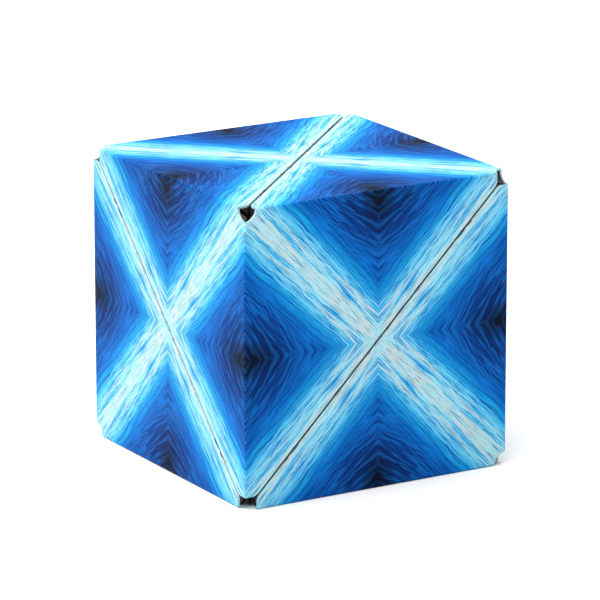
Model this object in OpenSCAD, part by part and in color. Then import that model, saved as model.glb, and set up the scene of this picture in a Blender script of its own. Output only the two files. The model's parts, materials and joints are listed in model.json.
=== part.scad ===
// Magnetic folding puzzle cube: twelve equal half pyramids, hinged along the cube's twelve
// edges by a printed film. Each half pyramid is a hollow shell, a cover, three disc magnets
// and a panel of the film. Millimetres, +Z up, origin at the centre of the bottom face.

/* [Cube] */
// Length of the cube's edge, over the film
edge = 57; // [45:0.5:80]
// Gap that each piece keeps to the plane it shares with its neighbour
face_gap = 0.25; // [0.15:0.05:0.4]

/* [Film] */
// Thickness of the printed film
film_t = 0.4; // [0.3:0.05:0.5]
// Radius of the hole that the film leaves around a cube corner, at a right-angled panel corner
hole_r = 2.5; // [1.5:0.1:3.5]
// Length cut off a panel's sharp corners, measured along the leg
tip_cut = 2.6; // [2:0.1:4]
// Radius of the panel's tips beside the slit
tip_r = 1.6; // [0.5:0.1:2]
// Running gap around a fold
fold_gap = 0.02; // [0.01:0.01:0.05]

/* [Shell and cover] */
// Thickness of the shell's walls
wall_t = 1.4; // [1.2:0.1:2]
// Thickness of the cover plate
cover_t = 1.6; // [1.2:0.1:2.4]
// Depth of the cover's locating lip
lip_h = 1.0; // [0.6:0.1:1.4]
// Thickness of the cover's locating lip
lip_t = 0.9; // [0.7:0.1:1.2]
// Length cut off the shell's apex at the middle of the cube
apex_cut = 2.5; // [1.5:0.1:4]
// Radius of the hollow that the shells leave around a cube corner
relief_r = 4.4; // [4:0.1:5.5]
// Depth of the solid tip of the shell, above the cut at its apex
tip_depth = 3.9; // [2:0.1:5]

/* [Magnets] */
// Diameter of a disc magnet
magnet_d = 8; // [6:0.5:9]
// Thickness of a disc magnet
magnet_t = 2; // [1:0.5:2.5]
// Wall in front of a magnet
magnet_skin = 0.9; // [0.7:0.1:1.2]
// Wall around a magnet
boss_t = 1.0; // [0.8:0.1:1.4]
// Play between a magnet and its pocket, on the diameter
magnet_play = 0.1; // [0.05:0.05:0.2]

/* [Open pivot] */
// Extra clearance, at the bottom corner of the open pivot, of the four pieces that meet there
pivot_clearance = 1.0; // [0.8:0.1:2]

/* [Hidden] */
$fn = 48;
half = edge / 2;
diag = sqrt(2);
// A fold's round ridge is tangent to both outer faces, and its axis is the hinge axis
fold_r = film_t;
shell_top = film_t + cover_t;
// Play between the cover's lip and the shell's mouth
lip_play = 0.1;
// Clearance of the cover around the film's fold and around the hole at the cube's corner
cover_clear = 0.1;
cover_hole_r = hole_r + 0.4;
// How far a cutting body runs past what it cuts
past = 1;

// Every piece: name, right-angled corner, direction of its X leg and of its Y leg, the leg whose
// fold it carries (none at the open pivot, which has no fold), and where it needs the open
// pivot's clearance. They are in ring order.
PIECES = [
    ["top_left",     [-1,  1,  1], [ 0, -1,  0], [ 1,  0,  0], "x", "none"],
    ["left_upper",   [-1, -1,  1], [ 0,  1,  0], [ 0,  0, -1], "y", "none"],
    ["front_upper",  [-1, -1,  1], [ 0,  0, -1], [ 1,  0,  0], "y", "none"],
    ["top_right",    [ 1, -1,  1], [ 0,  1,  0], [-1,  0,  0], "x", "none"],
    ["right_upper",  [ 1, -1,  1], [ 0,  0, -1], [ 0,  1,  0], "x", "none"],
    ["front_lower",  [ 1, -1, -1], [ 0,  0,  1], [-1,  0,  0], "y", "none"],
    ["bottom_right", [ 1, -1, -1], [-1,  0,  0], [ 0,  1,  0], "y", "slit_y"],
    ["right_lower",  [ 1,  1, -1], [ 0,  0,  1], [ 0, -1,  0], "none", "leg_x"],
    ["back_lower",   [ 1,  1, -1], [-1,  0,  0], [ 0,  0,  1], "x", "leg_y"],
    ["bottom_left",  [-1,  1, -1], [ 1,  0,  0], [ 0, -1,  0], "y", "slit_x"],
    ["left_lower",   [-1,  1, -1], [ 0, -1,  0], [ 0,  0,  1], "y", "none"],
    ["back_upper",   [-1,  1,  1], [ 1,  0,  0], [ 0,  0, -1], "x", "none"]
];

// ---- A piece's own frame: right-angled corner at the origin, legs along +X and +Y, outer
// ---- face at z = 0, and the apex at (half, half, -half), which is the middle of the cube.

// Puts a piece, drawn in its own frame, in its place in the cube
module placed(piece) {
    x = piece[2];
    y = piece[3];
    z = cross(x, y);
    p = piece[1] * half + [0, 0, half];
    multmatrix([
        [x[0], y[0], z[0], p[0]],
        [x[1], y[1], z[1], p[1]],
        [x[2], y[2], z[2], p[2]]
    ]) children();
}

// Swaps the two legs
module swapped() {
    mirror([1, -1, 0]) children();
}

// The half pyramid, each inner face moved in by inset, from depth down to the apex
module half_pyramid(inset, depth, tip) {
    off = inset * diag;
    far = edge - tip;
    side = edge - off - far;
    intersection() {
        translate([0, 0, -half - past])
            linear_extrude(half + past - depth)
                polygon([[0, 0], [far, 0], [far, side], [side, far], [0, far]]);
        leg_side(off);
        swapped() leg_side(off);
    }
}

// A slab as wide as the piece, from depth top down to depth bottom
module slab(top, bottom) {
    translate([-past, -past, -bottom])
        cube([edge + 2 * past, edge + 2 * past, bottom - top]);
}

// Everything on the inner side of the X leg's inner face
module leg_side(off) {
    rotate([90, 0, 90])
        linear_extrude(edge)
            polygon([[off, 0], [edge, 0], [edge, off - edge]]);
}

// The round space along the X leg's fold
module fold_space(radius) {
    translate([-past, fold_r, -fold_r])
        rotate([0, 90, 0])
            cylinder(h = edge + 2 * past, r = radius);
}

// The centre of each inner face, with +Z pointing into the piece
module at_inner_faces() {
    third = half / 3;
    translate([half, third, -third]) rotate([-45, 0, 0]) children();
    swapped() translate([half, third, -third]) rotate([-45, 0, 0]) children();
    translate([half, half, -third]) rotate([0, -90, 45]) children();
}

// What the open pivot's clearance takes off: a thin wedge, deepest at the hidden corner
module pivot_wedge(place) {
    if (place == "leg_x") leg_wedge();
    if (place == "leg_y") swapped() leg_wedge();
    if (place == "slit_x") slit_wedge();
    if (place == "slit_y") swapped() slit_wedge();
}

module leg_wedge() {
    in = pivot_clearance / diag;
    wedge([edge, 0, 0], [0, 0, 0], [0, in, in]);
}

module slit_wedge() {
    in = pivot_clearance / diag;
    wedge([0, edge, 0], [edge, 0, 0], [edge - in, -in, 0]);
}

// The space between the middle of the cube, a corner that stays, and the pivot's corner before
// and after it moves in. It runs a little past the piece's outer face and side.
module wedge(stays, corner, moved) {
    middle = [half, half, -half];
    lift = [0, 0, past / 2];
    outside = corner + (corner - moved) / 5;
    points = [middle, stays, outside, moved, stays + lift, outside + lift, moved + lift];
    hull() polyhedron(points, [[0, 1, 2], [0, 2, 3], [0, 3, 1], [4, 5, 6], [1, 4, 5], [1, 5, 2],
        [2, 5, 6], [2, 6, 3], [3, 6, 4], [3, 4, 1]]);
}

// ---- Sub-parts

// The outline of a film panel: legs at the fold axes, sharp corners cut square to their legs,
// and tips rounded where those cuts meet the slit
module film_outline() {
    far = edge - tip_cut;
    side = edge - face_gap * diag - far;
    arc = tip_arc(far - tip_r, side - tip_r * (diag - 1));
    back = [for (i = [len(arc) - 1:-1:0]) [arc[i][1], arc[i][0]]];
    polygon(concat([[fold_r, fold_r], [far, fold_r]], arc, back, [[fold_r, far]]));
}

// An eighth of a circle about a centre, from the cut to the slit
function tip_arc(x, y) = [for (a = [0:9:45]) [x + tip_r * cos(a), y + tip_r * sin(a)]];

// One panel of the printed film, with the fold on one leg and room for its neighbour's on the other
module film(piece) {
    on_x = piece[4] == "x";
    on_y = piece[4] == "y";
    color([0.16, 0.50, 0.83])
        placed(piece)
            difference() {
                union() {
                    translate([0, 0, -film_t]) linear_extrude(film_t) film_outline();
                    if (on_x) fold_ridge();
                    if (on_y) swapped() fold_ridge();
                }
                if (!on_x) fold_space(fold_r + fold_gap);
                if (!on_y) swapped() fold_space(fold_r + fold_gap);
                corner_hole(hole_r, 2 * film_t);
                pivot_wedge(piece[5]);
            }
}

// The round ridge of a fold, along the X leg
module fold_ridge() {
    translate([hole_r / 2, fold_r, -fold_r])
        rotate([0, 90, 0])
            cylinder(h = edge - tip_cut - hole_r / 2, r = fold_r);
}

// The hole that a piece leaves around its cube corner, cut from the outer face to a depth
module corner_hole(radius, depth) {
    translate([0, 0, -depth - past])
        cylinder(h = depth + 2 * past, r = radius);
}

// The moulded plate under the film, which closes the shell and has a lip that locates in it
module cover(piece) {
    color([0.07, 0.07, 0.08])
        placed(piece)
            difference() {
                union() {
                    intersection() {
                        half_pyramid(face_gap, film_t, tip_cut);
                        slab(film_t, shell_top);
                    }
                    lip(face_gap + wall_t + lip_play, tip_cut + wall_t);
                }
                fold_space(fold_r + cover_clear);
                swapped() fold_space(fold_r + cover_clear);
                corner_hole(cover_hole_r, shell_top + lip_h);
                pivot_wedge(piece[5]);
            }
}

// The cover's lip, a ring that stands inside the shell's walls and starts inside the plate
module lip(inset, tip) {
    difference() {
        intersection() {
            half_pyramid(inset, shell_top - cover_t / 2, tip);
            slab(film_t, shell_top + lip_h);
        }
        half_pyramid(inset + lip_t, 0, tip + lip_t);
    }
}

// The hollow shell that makes the three inner faces, with a pocket behind each for its magnet
module shell(piece) {
    color([0.05, 0.05, 0.06])
        placed(piece)
            difference() {
                union() {
                    difference() {
                        half_pyramid(face_gap, shell_top, tip_cut);
                        half_pyramid(face_gap + wall_t, 0, tip_cut + wall_t);
                    }
                    magnet_bosses();
                    half_pyramid(face_gap, half - apex_cut - tip_depth, tip_cut);
                }
                magnet_discs(magnet_d + magnet_play, magnet_t + past);
                slab(half - apex_cut, half + past);
                sphere(r = relief_r);
                pivot_wedge(piece[5]);
            }
}

// The round walls around the magnets, from inside the shell's walls to the magnets' far side
module magnet_bosses() {
    at_inner_faces()
        translate([0, 0, face_gap + wall_t / 2])
            cylinder(h = magnet_skin + magnet_t - wall_t / 2, d = magnet_d + 2 * boss_t);
}

// Three discs that lie on the pockets' floors
module magnet_discs(diameter, height) {
    at_inner_faces()
        translate([0, 0, face_gap + magnet_skin])
            cylinder(h = height, d = diameter);
}

// A piece's three disc magnets, one behind each inner face
module magnets(piece) {
    color([0.78, 0.78, 0.80])
        placed(piece)
            magnet_discs(magnet_d, magnet_t);
}

film(PIECES[0]);  // film_top_left
film(PIECES[1]);  // film_left_upper
film(PIECES[2]);  // film_front_upper
film(PIECES[3]);  // film_top_right
film(PIECES[4]);  // film_right_upper
film(PIECES[5]);  // film_front_lower
film(PIECES[6]);  // film_bottom_right
film(PIECES[7]);  // film_right_lower
film(PIECES[8]);  // film_back_lower
film(PIECES[9]);  // film_bottom_left
film(PIECES[10]);  // film_left_lower
film(PIECES[11]);  // film_back_upper
cover(PIECES[0]);  // cover_top_left
cover(PIECES[1]);  // cover_left_upper
cover(PIECES[2]);  // cover_front_upper
cover(PIECES[3]);  // cover_top_right
cover(PIECES[4]);  // cover_right_upper
cover(PIECES[5]);  // cover_front_lower
cover(PIECES[6]);  // cover_bottom_right
cover(PIECES[7]);  // cover_right_lower
cover(PIECES[8]);  // cover_back_lower
cover(PIECES[9]);  // cover_bottom_left
cover(PIECES[10]);  // cover_left_lower
cover(PIECES[11]);  // cover_back_upper
shell(PIECES[0]);  // shell_top_left
shell(PIECES[1]);  // shell_left_upper
shell(PIECES[2]);  // shell_front_upper
shell(PIECES[3]);  // shell_top_right
shell(PIECES[4]);  // shell_right_upper
shell(PIECES[5]);  // shell_front_lower
shell(PIECES[6]);  // shell_bottom_right
shell(PIECES[7]);  // shell_right_lower
shell(PIECES[8]);  // shell_back_lower
shell(PIECES[9]);  // shell_bottom_left
shell(PIECES[10]);  // shell_left_lower
shell(PIECES[11]);  // shell_back_upper
magnets(PIECES[0]);  // magnets_top_left
magnets(PIECES[1]);  // magnets_left_upper
magnets(PIECES[2]);  // magnets_front_upper
magnets(PIECES[3]);  // magnets_top_right
magnets(PIECES[4]);  // magnets_right_upper
magnets(PIECES[5]);  // magnets_front_lower
magnets(PIECES[6]);  // magnets_bottom_right
magnets(PIECES[7]);  // magnets_right_lower
magnets(PIECES[8]);  // magnets_back_lower
magnets(PIECES[9]);  // magnets_bottom_left
magnets(PIECES[10]);  // magnets_left_lower
magnets(PIECES[11]);  // magnets_back_upper
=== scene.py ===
import bpy
import bmesh
import json
import math
from mathutils import Vector, Matrix

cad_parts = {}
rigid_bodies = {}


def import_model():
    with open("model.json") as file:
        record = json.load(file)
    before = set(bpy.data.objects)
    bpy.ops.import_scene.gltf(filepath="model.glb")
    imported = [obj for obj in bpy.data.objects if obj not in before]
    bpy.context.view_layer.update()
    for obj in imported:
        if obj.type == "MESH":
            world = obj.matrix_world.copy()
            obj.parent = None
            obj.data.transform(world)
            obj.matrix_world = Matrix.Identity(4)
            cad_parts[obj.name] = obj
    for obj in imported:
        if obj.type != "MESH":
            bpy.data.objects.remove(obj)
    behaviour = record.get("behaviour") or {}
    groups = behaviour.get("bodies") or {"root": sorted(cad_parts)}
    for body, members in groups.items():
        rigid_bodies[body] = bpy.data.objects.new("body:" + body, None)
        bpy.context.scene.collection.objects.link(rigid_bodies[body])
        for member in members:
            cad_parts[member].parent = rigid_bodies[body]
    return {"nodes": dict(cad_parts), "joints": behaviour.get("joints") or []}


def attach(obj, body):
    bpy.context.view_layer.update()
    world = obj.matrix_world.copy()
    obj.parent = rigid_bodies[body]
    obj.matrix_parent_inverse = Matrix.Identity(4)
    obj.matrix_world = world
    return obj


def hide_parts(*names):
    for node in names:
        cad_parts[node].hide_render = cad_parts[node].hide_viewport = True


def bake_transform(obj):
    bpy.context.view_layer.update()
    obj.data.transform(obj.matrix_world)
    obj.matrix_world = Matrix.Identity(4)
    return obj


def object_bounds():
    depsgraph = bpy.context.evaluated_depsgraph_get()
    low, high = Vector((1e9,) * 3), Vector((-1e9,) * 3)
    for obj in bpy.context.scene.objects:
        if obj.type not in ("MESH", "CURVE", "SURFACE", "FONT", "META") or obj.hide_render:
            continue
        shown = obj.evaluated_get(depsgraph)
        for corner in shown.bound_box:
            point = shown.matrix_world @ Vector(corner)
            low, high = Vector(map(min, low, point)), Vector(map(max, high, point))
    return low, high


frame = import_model()
cad_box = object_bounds()

# ---- Sizes, in metres. The film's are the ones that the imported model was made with.
MM = 0.001
EDGE = cad_box[1].x - cad_box[0].x
HALF = EDGE / 2
FILM_T = 0.4 * MM
TIP_CUT = 2.6 * MM
TIP_R = 1.6 * MM
HOLE_R = 2.5 * MM
FACE_GAP = 0.25 * MM
PIVOT_CLEARANCE = 1.0 * MM
FOLD_R = FILM_T
# Room that a panel's inner edge leaves at the hinge's axis
HINGE_CLEAR = 0.02 * MM
CUT_BEVEL = 0.06 * MM
BEVEL_TURNS = (0, 30, 60, 90)
HOLE_STEPS = 12
TIP_STEPS = 5
# Points nearer than this are joined
WELD = 0.001 * MM
# How far down a cut edge the print shows, and how softly it ends
PRINT_DEPTH = 0.26 * MM
PRINT_FADE = 0.02 * MM
# A fold's strip: steps round it and along it, and how near its inner edges come to the axis
FOLD_STEPS = 10
FOLD_STATIONS = 24
FOLD_INNER = 0.1
CENTRE = Vector((0, 0, HALF))
DIAG = math.sqrt(2)

# Each half pyramid: its right-angled corner, its X leg, its Y leg, and where it needs the
# clearance of the open pivot. They are in ring order.
PIECES = {
    "top_left": ((-1, 1, 1), (0, -1, 0), (1, 0, 0), None),
    "left_upper": ((-1, -1, 1), (0, 1, 0), (0, 0, -1), None),
    "front_upper": ((-1, -1, 1), (0, 0, -1), (1, 0, 0), None),
    "top_right": ((1, -1, 1), (0, 1, 0), (-1, 0, 0), None),
    "right_upper": ((1, -1, 1), (0, 0, -1), (0, 1, 0), None),
    "front_lower": ((1, -1, -1), (0, 0, 1), (-1, 0, 0), None),
    "bottom_right": ((1, -1, -1), (-1, 0, 0), (0, 1, 0), "slit_y"),
    "right_lower": ((1, 1, -1), (0, 0, 1), (0, -1, 0), "leg_x"),
    "back_lower": ((1, 1, -1), (-1, 0, 0), (0, 0, 1), "leg_y"),
    "bottom_left": ((-1, 1, -1), (1, 0, 0), (0, -1, 0), "slit_x"),
    "left_lower": ((-1, 1, -1), (0, -1, 0), (0, 0, 1), None),
    "back_upper": ((-1, 1, 1), (1, 0, 0), (0, 0, -1), None),
}


def placement(name):
    """The matrix from a piece's own frame, with its outer face at z = 0, to the row frame."""
    corner, x, y, _ = PIECES[name]
    x, y = Vector(x), Vector(y)
    matrix = Matrix((x, y, x.cross(y))).transposed().to_4x4()
    matrix.translation = Vector(corner) * HALF + CENTRE
    return matrix


# ---- Film panels

def arc(x, y, radius, start, end, steps):
    """Points along an arc in the outer face's plane, with angles in degrees."""
    angles = [math.radians(start + (end - start) * i / steps) for i in range(steps + 1)]
    return [Vector((x + radius * math.cos(a), y + radius * math.sin(a))) for a in angles]


def panel_outline():
    """The panel's outline as (point, kind of the edge that starts there)."""
    far = EDGE - TIP_CUT
    side = EDGE - FACE_GAP * DIAG - far
    tip = arc(far - TIP_R, side - TIP_R * (DIAG - 1), TIP_R, 0, 45, TIP_STEPS)
    back = [Vector((p.y, p.x)) for p in reversed(tip)]
    hole = arc(0, 0, HOLE_R, 90, 0, HOLE_STEPS)
    outline = [(hole[-1], "leg_x"), (Vector((far, 0)), "cut")]
    outline += [(p, "cut") for p in tip + back]
    outline += [(Vector((0, far)), "leg_y")]
    outline += [(p, "cut") for p in hole[:-1]]
    return outline


def clearance_line(place):
    """The line that the open pivot's clearance cuts a panel along, as a point and a direction."""
    inward = PIVOT_CLEARANCE / DIAG
    stays, moved = {
        "leg_x": ((EDGE, 0, 0), (0, inward, inward)),
        "leg_y": ((0, EDGE, 0), (inward, 0, inward)),
        "slit_x": ((0, EDGE, 0), (EDGE - inward, -inward, 0)),
        "slit_y": ((EDGE, 0, 0), (-inward, EDGE - inward, 0)),
    }[place]
    stays = Vector(stays)
    middle = Vector((HALF, HALF, -HALF))
    normal = (middle - stays).cross(Vector(moved) - stays)
    return stays.to_2d(), Vector((-normal.y, normal.x)).normalized()


def clip(outline, point, direction):
    """The part of an outline on the same side of a line as the panel's middle."""
    inside = Vector((direction.y, -direction.x))
    if inside.dot(Vector((EDGE / 3, EDGE / 3)) - point) < 0:
        inside.negate()
    kept = []
    for i, (a, kind) in enumerate(outline):
        b = outline[(i + 1) % len(outline)][0]
        da, db = inside.dot(a - point), inside.dot(b - point)
        if da >= 0:
            kept.append((a, kind))
        if (da < 0) != (db < 0):
            crossing = a + (b - a) * (da / (da - db))
            kept.append((crossing, "cut" if da >= 0 else kind))
    return kept


def edge_profile(kind):
    """How an edge of the film runs down from its outer face: (distance in from the edge, z).

    An edge at a fold has no bevel, so its bevel points fall together, and clean() joins them.
    """
    if kind != "cut":
        return [(FOLD_R, 0)] * len(BEVEL_TURNS) + [(FOLD_R + HINGE_CLEAR, -FILM_T)]
    turns = [math.radians(a) for a in BEVEL_TURNS]
    bevel = [(CUT_BEVEL * (1 - math.sin(a)), CUT_BEVEL * (math.cos(a) - 1)) for a in turns]
    return bevel + [(0, -FILM_T)]


def inset_corner(before, corner, after, in_before, in_after):
    """Where the two edges at a corner meet once each is moved in by its own distance."""
    d1, d2 = (corner - before).normalized(), (after - corner).normalized()
    n1, n2 = Vector((-d1.y, d1.x)), Vector((-d2.y, d2.x))
    turn = d1.x * d2.y - d1.y * d2.x
    nearly_straight = 0.02
    if abs(turn) < nearly_straight:
        return corner + n1 * (in_before + in_after) / 2
    p1, p2 = corner + n1 * in_before, corner + n2 * in_after
    gap = p2 - p1
    return p1 + d1 * ((gap.x * d2.y - gap.y * d2.x) / turn)


def new_piece(name, verts, faces, material):
    """A mesh object with one material, linked to the scene."""
    mesh = bpy.data.meshes.new(name)
    mesh.from_pydata([tuple(v) for v in verts], [], faces)
    mesh.validate()
    mesh.update()
    mesh.materials.append(material)
    piece = bpy.data.objects.new(name, mesh)
    bpy.context.scene.collection.objects.link(piece)
    return piece


def clean(piece):
    """Joins the points that fall together, and drops the faces that this leaves without area."""
    work = bmesh.new()
    work.from_mesh(piece.data)
    bmesh.ops.remove_doubles(work, verts=work.verts, dist=WELD)
    bmesh.ops.dissolve_degenerate(work, edges=work.edges, dist=WELD)
    work.to_mesh(piece.data)
    work.free()


def film_panel(name, material):
    """One half pyramid's panel of the printed film, with softened cut edges."""
    outline = panel_outline()
    place = PIECES[name][3]
    if place:
        outline = clip(outline, *clearance_line(place))
    count = len(outline)
    last = len(BEVEL_TURNS)
    verts = []
    for ring in range(last + 1):
        for i, (corner, kind) in enumerate(outline):
            before, before_kind = outline[i - 1]
            after = outline[(i + 1) % count][0]
            in_before, z_before = edge_profile(before_kind)[ring]
            in_after, z_after = edge_profile(kind)[ring]
            p = inset_corner(before, corner, after, in_before, in_after)
            verts.append(Vector((p.x, p.y, (z_before + z_after) / 2)))
    faces = [tuple(range(count)), tuple(reversed(range(last * count, (last + 1) * count)))]
    for ring in range(last):
        for i in range(count):
            a, b = ring * count + i, ring * count + (i + 1) % count
            faces.append((a, a + count, b + count, b))
    matrix = placement(name)
    panel = new_piece("print_" + name, [matrix @ v for v in verts], faces, material)
    clean(panel)
    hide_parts("film_" + name)
    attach(panel, name)


# ---- Folds: the film between two panels, as a fixed rounded strip

def outward(name):
    """The direction that a piece's outer face looks in."""
    return Vector(PIECES[name][1]).cross(Vector(PIECES[name][2]))


def film_fold(joint, material):
    """The rounded strip of film along one cube edge, curving round from one body's face to the
    other's, fixed in place and attached to neither body.
    """
    a, b = joint["parent"], joint["child"]
    na, nb = outward(a), outward(b)
    along = na.cross(nb)
    axis = CENTRE + (na + nb) * (HALF - FOLD_R)
    reach = HALF - (HOLE_R + TIP_CUT) / 2
    section = []
    for i in range(FOLD_STEPS + 1):
        turn = math.radians(90 * i / FOLD_STEPS)
        section.append((na * math.cos(turn) + nb * math.sin(turn)) * FOLD_R)
    section.append(nb * FOLD_R * FOLD_INNER)
    section.append(na * FOLD_R * FOLD_INNER)
    verts, faces = [], []
    for j in range(FOLD_STATIONS + 1):
        here = axis + along * (reach * (2 * j / FOLD_STATIONS - 1))
        verts += [here + p for p in section]
    n = len(section)
    for j in range(FOLD_STATIONS):
        for i in range(n):
            p, q = j * n + i, j * n + (i + 1) % n
            faces.append((p, q, q + n, p + n))
    faces.append(tuple(reversed(range(n))))
    faces.append(tuple(range(FOLD_STATIONS * n, FOLD_STATIONS * n + n)))
    piece = new_piece("film_fold_" + joint["name"][len("fold_"):], verts, faces, material)
    for polygon in piece.data.polygons:
        polygon.use_smooth = len(polygon.vertices) == 4
    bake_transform(piece)


# ---- Materials

class Nodes:
    """Short calls for building a node tree."""

    def __init__(self, name):
        self.material = bpy.data.materials.new(name)
        self.material.use_nodes = True
        self.tree = self.material.node_tree
        self.shader = self.tree.nodes["Principled BSDF"]

    def feed(self, socket, value):
        """Links a socket to another, or sets it to a plain value."""
        if isinstance(value, bpy.types.NodeSocket):
            self.tree.links.new(value, socket)
        else:
            socket.default_value = value

    def math(self, operation, *values):
        node = self.tree.nodes.new("ShaderNodeMath")
        node.operation = operation
        for socket, value in zip(node.inputs, values):
            self.feed(socket, value)
        return node.outputs[0]

    def plus(self, a, b):
        return self.math("ADD", a, b)

    def minus(self, a, b):
        return self.math("SUBTRACT", a, b)

    def times(self, a, b):
        return self.math("MULTIPLY", a, b)

    def swing(self, noise, amount):
        """A noise moved to swing about zero, and scaled."""
        return self.times(self.minus(noise, 0.5), amount)

    def ridge(self, noise):
        """One along the lines where a noise passes its middle, falling to zero at its ends."""
        return self.minus(1.0, self.math("ABSOLUTE", self.minus(self.times(noise, 2.0), 1.0)))

    def smooth(self, value, low, high, out_low=0.0, out_high=1.0):
        """A soft step: out_low where the value is at low, and out_high where it is at high."""
        node = self.tree.nodes.new("ShaderNodeMapRange")
        node.interpolation_type = "SMOOTHSTEP"
        for key, v in (("Value", value), ("From Min", low), ("From Max", high),
                       ("To Min", out_low), ("To Max", out_high)):
            self.feed(node.inputs[key], v)
        return node.outputs["Result"]

    def vector(self, x, y, z):
        node = self.tree.nodes.new("ShaderNodeCombineXYZ")
        for socket, value in zip(node.inputs, (x, y, z)):
            self.feed(socket, value)
        return node.outputs[0]

    def noise(self, vector, scale, detail=2.0, roughness=0.5):
        node = self.tree.nodes.new("ShaderNodeTexNoise")
        self.feed(node.inputs["Vector"], vector)
        node.inputs["Scale"].default_value = scale
        node.inputs["Detail"].default_value = detail
        node.inputs["Roughness"].default_value = roughness
        return node.outputs["Fac"]

    def ramp(self, value, stops):
        node = self.tree.nodes.new("ShaderNodeValToRGB")
        elements = node.color_ramp.elements
        elements[0].position, elements[0].color = stops[0][0], (*stops[0][1], 1)
        elements[1].position, elements[1].color = stops[-1][0], (*stops[-1][1], 1)
        for position, colour in stops[1:-1]:
            elements.new(position).color = (*colour, 1)
        self.feed(node.inputs["Fac"], value)
        return node.outputs["Color"]

    def mix(self, amount, a, b):
        node = self.tree.nodes.new("ShaderNodeMix")
        node.data_type = "RGBA"
        self.feed(node.inputs["Factor"], amount)
        for socket, value in ((node.inputs[6], a), (node.inputs[7], b)):
            self.feed(socket, value if isinstance(value, bpy.types.NodeSocket) else (*value, 1))
        return node.outputs[2]

    def bump(self, height, strength, distance):
        node = self.tree.nodes.new("ShaderNodeBump")
        node.inputs["Strength"].default_value = strength
        node.inputs["Distance"].default_value = distance
        self.feed(node.inputs["Height"], height)
        self.feed(self.shader.inputs["Normal"], node.outputs["Normal"])

    def object_place(self):
        """The point's place in the row frame at rest, as three sockets in metres."""
        where = self.tree.nodes.new("ShaderNodeTexCoord")
        split = self.tree.nodes.new("ShaderNodeSeparateXYZ")
        self.tree.links.new(where.outputs["Object"], split.inputs[0])
        return where.outputs["Object"], split.outputs[0], split.outputs[1], split.outputs[2]


# ---- The film's print

PALE = (0.43, 0.49, 0.51)
SKY = (0.006, 0.42, 0.70)
BLUE = (0.001, 0.23, 0.55)
DEEP = (0.001, 0.090, 0.35)
NAVY = (0.001, 0.026, 0.15)
INK = (0.001, 0.009, 0.045)
BLACK = (0.001, 0.002, 0.005)
THREAD = (0.25, 0.58, 0.66)
CYAN = (0.03, 0.56, 0.82)
DASH = (0.006, 0.13, 0.27)
VEIN = (0.004, 0.15, 0.54)
# The film's core colour: its real white darkened to grey as painted shade, so the slits and notch
# rims look dark
FILM_CORE_WITH_PAINTED_SHADE = (0.36, 0.38, 0.39)

# Distances in the print are shares of half the cube's edge. The base colours run from the middle
# of a pale band, at 0, to the dark middle of a cube edge, at 1.
BASE = [(0.0, PALE), (0.05, PALE), (0.085, SKY), (0.14, BLUE), (0.31, DEEP), (0.56, NAVY),
        (0.92, INK)]

# Each kind of strand: how often it repeats across the diagonal and along it, its lean off the
# diagonal, its place in the noise, and the noise's detail
STRANDS = {
    "wide": (15.0, 0.55, 0.04, 1.0, 2.0),
    "thin": (52.0, 1.1, -0.07, 5.0, 2.0),
    "hair": (135.0, 2.6, 0.05, 9.0, 1.0),
    "dash": (150.0, 4.6, -0.06, 13.3, 2.0),
    "vein": (30.0, 1.6, 0.22, 17.0, 2.0),
}

# How far all the strands sway together, in a slow wave and in a finer one on top of it
SWAY = 0.07
FINE_SWAY = 0.010
# How far the wide and the thin strands push the base colours to and fro
WIDE_PUSH = 0.34
THIN_PUSH = 0.62
# How much wider every band is than the base colours make it, and the broad bands beyond that
BAND_GAIN = 0.024
BROAD_GAIN = 0.025
# How far from a face's midline the broad and the narrow bands reach their own widths
MIDLINE_FADE = 0.16


def strands(n, bent, along, kind):
    """Long thin strands that run nearly along the diagonal, leaning a little off it."""
    across_scale, along_scale, lean, offset, detail = STRANDS[kind]
    leaned = n.plus(bent, n.times(along, lean))
    where = n.vector(n.times(leaned, across_scale), n.times(along, along_scale), offset)
    return n.noise(where, 1.0, detail)


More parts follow.
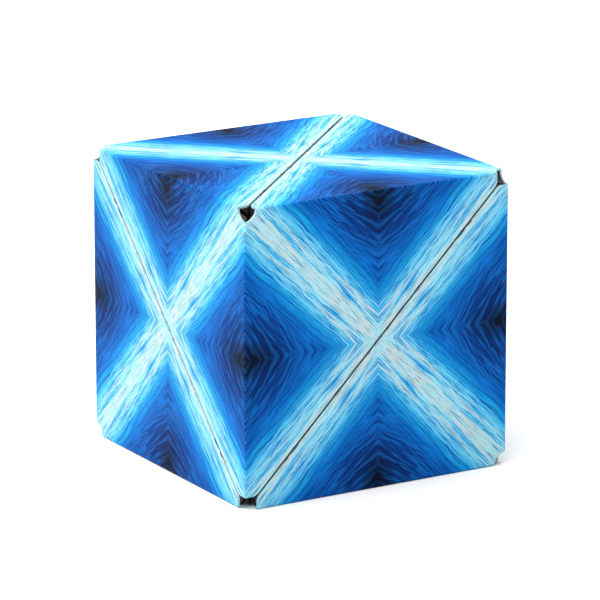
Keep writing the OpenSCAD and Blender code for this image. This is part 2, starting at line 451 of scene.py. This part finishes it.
def ripple_colour(n, x, y, z, low, middle):
    """The print's colour, from a point's place and its least and middle distances."""
    # across runs from a face's diagonal to the middle of a cube edge, along from centre to corner
    across = n.minus(middle, low)
    along = n.plus(middle, low)
    # broad bands join one set of four corners, narrow bands the other, and the difference
    # between them fades towards a face's midlines, where strands meet
    sign = n.math("SIGN", n.times(x, n.times(y, z)))
    broad = n.plus(0.5, n.times(n.times(sign, 0.5), n.smooth(low, 0.0, MIDLINE_FADE)))

    sway = n.noise(n.vector(across, along, 0.0), 2.6, 2.0)
    fine_sway = n.noise(n.vector(across, along, 3.0), 9.0, 2.0)
    bent = n.plus(across, n.swing(sway, SWAY))
    bent = n.plus(bent, n.swing(fine_sway, FINE_SWAY))
    wide, thin, hair, dash, vein = (strands(n, bent, along, kind) for kind in STRANDS)

    shifted = n.minus(bent, n.times(broad, BROAD_GAIN))
    shifted = n.plus(shifted, n.swing(wide, WIDE_PUSH))
    shifted = n.plus(shifted, n.swing(thin, THIN_PUSH))
    shifted = n.minus(shifted, BAND_GAIN)
    colour = n.ramp(shifted, BASE)

    # bright threads, strongest beside the bands and faint in the dark
    near_band = n.smooth(bent, 0.42, 0.10)
    glow = n.mix(n.smooth(bent, 0.32, 0.14), CYAN, THREAD)
    thread = n.times(n.smooth(n.ridge(thin), 0.88, 0.95), n.times(near_band, 0.9))
    colour = n.mix(thread, colour, glow)
    fine_thread = n.times(n.smooth(n.ridge(hair), 0.88, 0.96), n.times(near_band, 0.75))
    colour = n.mix(fine_thread, colour, glow)
    # dark gaps between the threads beside a band
    gap = n.times(n.smooth(hair, 0.44, 0.32), n.smooth(bent, 0.06, 0.14))
    colour = n.mix(n.times(gap, n.times(near_band, 0.90)), colour, DEEP)
    # faint veins in the dark
    faint = n.times(n.smooth(n.ridge(vein), 0.86, 0.99), n.smooth(bent, 0.22, 0.42))
    colour = n.mix(n.times(faint, 0.50), colour, VEIN)
    # dark dashes inside the pale bands
    in_band = n.smooth(shifted, 0.20, 0.06)
    colour = n.mix(n.times(n.smooth(dash, 0.45, 0.37), n.times(in_band, 0.85)), colour, DASH)
    # an ink-dark lobe at the middle of each cube edge, pointing at the face's centre
    lobe = n.times(n.smooth(low, 0.17, 0.0), n.smooth(middle, 0.66, 0.92))
    return n.mix(n.times(lobe, 0.85), colour, BLACK)


def rubbed_fold(n, place, colour):
    """Rubbed and darkened specks along a fold, where the ink has cracked."""
    speck = n.noise(place, 5200.0, 2.0)
    patch = n.noise(place, 160.0, 2.0)
    rubbed = n.times(n.smooth(speck, 0.63, 0.72), n.smooth(patch, 0.52, 0.64))
    # rubbed specks show the film's core, whose grey is darkened from white as painted shade
    colour = n.mix(n.times(rubbed, 0.32), colour, FILM_CORE_WITH_PAINTED_SHADE)
    dark = n.times(n.smooth(speck, 0.42, 0.34), n.smooth(patch, 0.50, 0.40))
    return n.mix(n.times(dark, 0.45), colour, INK)


def printed_film(name, creased):
    """Water-ripple print, mirrored in every face's diagonals and in the cube's edges."""
    n = Nodes(name)
    place, x, y, z = n.object_place()
    x = n.math("DIVIDE", x, HALF)
    y = n.math("DIVIDE", y, HALF)
    z = n.math("DIVIDE", n.minus(z, HALF), HALF)
    ax, ay, az = (n.math("ABSOLUTE", v) for v in (x, y, z))
    most = n.math("MAXIMUM", ax, n.math("MAXIMUM", ay, az))
    low = n.math("MINIMUM", ax, n.math("MINIMUM", ay, az))
    middle = n.minus(n.minus(n.plus(ax, n.plus(ay, az)), most), low)
    colour = ripple_colour(n, x, y, z, low, middle)
    if creased:
        colour = rubbed_fold(n, place, colour)

    # the film's core shows where it is cut, in a grey darkened from its real white as painted shade
    # for the slits and notch rims
    depth = n.times(n.minus(1.0, most), HALF)
    cut = n.smooth(depth, PRINT_DEPTH, PRINT_DEPTH + PRINT_FADE)
    n.feed(n.shader.inputs["Base Color"], n.mix(cut, colour, FILM_CORE_WITH_PAINTED_SHADE))

    blotch = n.noise(place, 260.0, 3.0)
    n.feed(n.shader.inputs["Roughness"], n.smooth(blotch, 0.3, 0.7, 0.27, 0.38))
    n.shader.inputs["Specular IOR Level"].default_value = 0.03
    n.bump(n.noise(place, 2600.0, 2.0), 0.06, 0.02 * MM)
    return n.material


# ---- The other materials

def moulded_plastic(name, colour, roughness):
    """Black moulded plastic, with a fine spark-eroded texture and faint flow marks."""
    n = Nodes(name)
    place, _, _, _ = n.object_place()
    flow = n.noise(place, 110.0, 3.0)
    lighter = tuple(c * 1.9 + 0.004 for c in colour)
    n.feed(n.shader.inputs["Base Color"], n.mix(n.smooth(flow, 0.35, 0.7), colour, lighter))
    n.feed(n.shader.inputs["Roughness"], n.smooth(flow, 0.3, 0.7, roughness, roughness + 0.12))
    n.bump(n.noise(place, 3800.0, 3.0, 0.65), 0.22, 0.03 * MM)
    return n.material


def nickel_plate(name):
    """Nickel plating on a disc magnet, with a faint brushed grain."""
    n = Nodes(name)
    place, _, _, _ = n.object_place()
    n.shader.inputs["Metallic"].default_value = 1.0
    haze = n.noise(place, 900.0, 3.0)
    n.feed(n.shader.inputs["Base Color"], n.mix(haze, (0.62, 0.62, 0.60), (0.74, 0.73, 0.70)))
    n.feed(n.shader.inputs["Roughness"], n.smooth(haze, 0.3, 0.7, 0.14, 0.24))
    return n.material


def floor_paint(name):
    """Plain pale floor, matt enough to show no reflection."""
    n = Nodes(name)
    n.shader.inputs["Base Color"].default_value = (FLOOR_GREY, FLOOR_GREY, FLOOR_GREY, 1)
    n.shader.inputs["Roughness"].default_value = 0.9
    n.shader.inputs["Specular IOR Level"].default_value = 0.1
    return n.material


def dress(node, material):
    """Gives a CAD node one material."""
    mesh = frame["nodes"][node].data
    mesh.materials.clear()
    mesh.materials.append(material)


# ---- Stage

FLOOR_REACH = 40 * EDGE
FLOOR_DROP = 0.02 * MM
FLOOR_GREY = 0.70
SKY_STRENGTH = 0.42
# The light's direction, strength and angular width in degrees
OVERHEAD = ((-0.38, 0.04, 0.92), 6.8, 98)
# Where the light's object stands, which its rays don't depend on
LIGHT_DISTANCE = 0.5
# The camera's bearing and height in degrees, its distance and lens, and its aim off the centre
CAMERA_AZIMUTH = 31.0
CAMERA_ELEVATION = 15.4
CAMERA_DISTANCE = 0.882
CAMERA_LENS = 279.5
CAMERA_AIM = Vector((0.0003, 0, 0.0009))


def soft_sun(name, towards, power, angle):
    """A large soft source far away, which shines from the direction given."""
    data = bpy.data.lights.new(name, "SUN")
    data.energy = power
    data.angle = math.radians(angle)
    light = bpy.data.objects.new(name, data)
    light.rotation_mode = "QUATERNION"
    light.rotation_quaternion = Vector(towards).to_track_quat("Z", "Y")
    light.location = Vector(towards) * LIGHT_DISTANCE
    bpy.context.scene.collection.objects.link(light)


def floor():
    """A floor that reaches far past the object, just under it."""
    corners = [(x * FLOOR_REACH, y * FLOOR_REACH, 0) for x, y in ((-1, -1), (1, -1), (1, 1), (-1, 1))]
    piece = new_piece("floor", corners, [(0, 1, 2, 3)], floor_paint("white floor"))
    piece.location.z = -FLOOR_DROP


def sky():
    """Even white light from all round."""
    world = bpy.data.worlds.new("studio")
    world.use_nodes = True
    background = world.node_tree.nodes["Background"]
    background.inputs["Color"].default_value = (1, 1, 1, 1)
    background.inputs["Strength"].default_value = SKY_STRENGTH
    bpy.context.scene.world = world
    bpy.context.scene.view_settings.view_transform = "Standard"


def camera():
    """Looks from the front left and a little above, with a long lens."""
    azimuth, elevation = math.radians(CAMERA_AZIMUTH), math.radians(CAMERA_ELEVATION)
    forward = Vector((math.sin(azimuth) * math.cos(elevation),
                      math.cos(azimuth) * math.cos(elevation), -math.sin(elevation)))
    data = bpy.data.cameras.new("camera")
    data.lens = CAMERA_LENS
    data.sensor_width = 36
    data.clip_start, data.clip_end = 0.01, 20
    cam = bpy.data.objects.new("camera", data)
    cam.location = CENTRE + CAMERA_AIM - forward * CAMERA_DISTANCE
    cam.rotation_mode = "QUATERNION"
    cam.rotation_quaternion = forward.to_track_quat("-Z", "Y")
    bpy.context.scene.collection.objects.link(cam)
    bpy.context.scene.camera = cam


# ---- The scene

panel_print = printed_film("printed film", creased=False)
fold_print = printed_film("printed film at a fold", creased=True)
shell_black = moulded_plastic("black shell", (0.006, 0.006, 0.007), 0.34)
cover_black = moulded_plastic("black cover", (0.009, 0.009, 0.010), 0.42)
nickel = nickel_plate("nickel plate")

for piece_name in PIECES:
    film_panel(piece_name, panel_print)
    dress("film_" + piece_name, panel_print)
    dress("shell_" + piece_name, shell_black)
    dress("cover_" + piece_name, cover_black)
    dress("magnets_" + piece_name, nickel)
for joint in frame["joints"]:
    film_fold(joint, fold_print)

floor()
sky()
soft_sun("overhead", *OVERHEAD)
camera()
